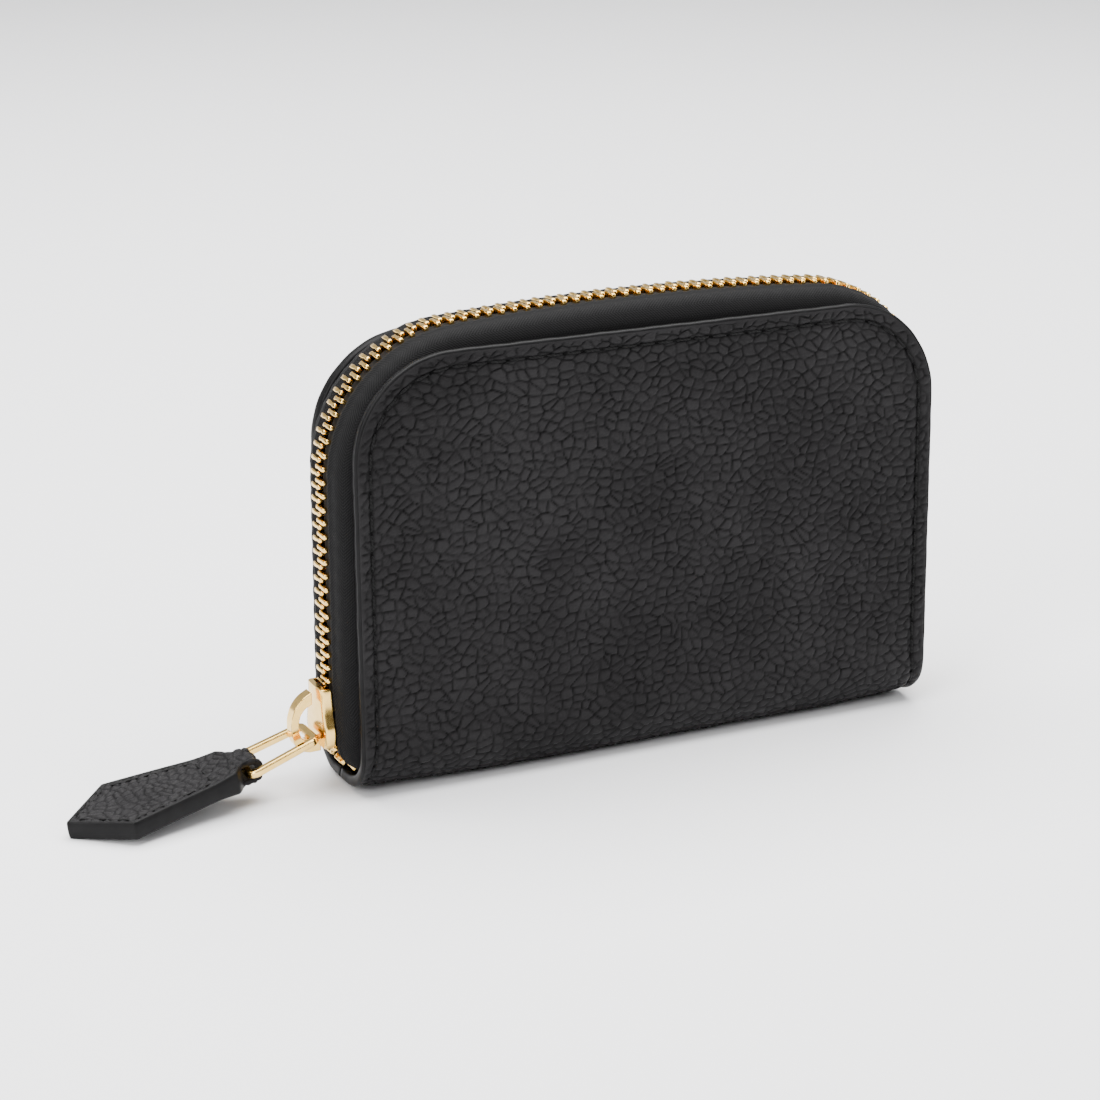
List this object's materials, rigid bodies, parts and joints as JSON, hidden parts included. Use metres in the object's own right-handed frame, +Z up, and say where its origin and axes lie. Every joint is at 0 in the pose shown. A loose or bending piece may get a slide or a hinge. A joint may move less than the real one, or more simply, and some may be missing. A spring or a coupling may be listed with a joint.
{
  "type": "coin purse",
  "caption": "Zip-around coin purse in grained leather, standing on its spine, with a metal zip, a slider, a pull ring and a pointed leather tab.",
  "frame": {"origin": "middle of the flat strip under the spine, which the purse stands on", "axes": "+Z up, X along the width with the slider at -X, -Y towards the front panel"},
  "size_m": [0.1619, 0.021, 0.0808],
  "materials": {
    "leather": "black pebble-grained leather, satin",
    "leather_edge": "black painted edge, smooth and slightly glossy",
    "board": "bonded fibre board, matt",
    "lining": "black woven lining",
    "zip_tape": "black twill nylon tape",
    "zip_metal": "polished pale gold plate",
    "thread": "black bonded polyester thread"
  },
  "bodies": {
    "back_shell": {"back_leather": "leather", "back_stiffener": "board", "back_lining": "lining", "card_pocket": "lining", "left_gusset": "lining", "right_gusset": "lining", "back_zip_tape": "zip_tape", "back_teeth": "zip_metal", "back_top_stop": "zip_metal", "bottom_stop": "zip_metal", "back_stitching": "thread"},
    "front_shell": {"front_leather": "leather", "front_stiffener": "board", "front_lining": "lining", "front_zip_tape": "zip_tape", "front_teeth": "zip_metal", "front_top_stop": "zip_metal", "front_stitching": "thread"},
    "zip_slider": {"slider_body": "zip_metal", "slider_crown": "zip_metal"},
    "pull_ring": {"pull_ring": "zip_metal"},
    "pull_tab": {"pull_tab_strap": "leather", "pull_tab_filler": "leather_edge", "tab_stitching": "thread"}
  },
  "joints": [
    {"name": "front_open", "type": "hinge", "parent": "back_shell", "child": "front_shell", "pos_m": [0, -0.00791, 0.00234], "axis": [1, 0, 0], "range_deg": [0, 50], "deforming": ["front_zip_tape", "front_teeth", "left_gusset", "right_gusset"]},
    {"name": "zip_slide", "type": "slide", "parent": "back_shell", "child": "zip_slider", "axis": [0, 0, 1], "range_m": [0, 0.036], "deforming": ["back_teeth", "back_zip_tape"]},
    {"name": "ring_swing", "type": "hinge", "parent": "zip_slider", "child": "pull_ring", "pos_m": [-0.0606, 0, 0.0101], "axis": [0, 1, 0], "range_deg": [-15, 75]},
    {"name": "tab_swing", "type": "hinge", "parent": "pull_ring", "child": "pull_tab", "pos_m": [-0.07232, 0, 0.00606], "axis": [0, 1, 0], "range_deg": [-60, 25]}
  ]
}
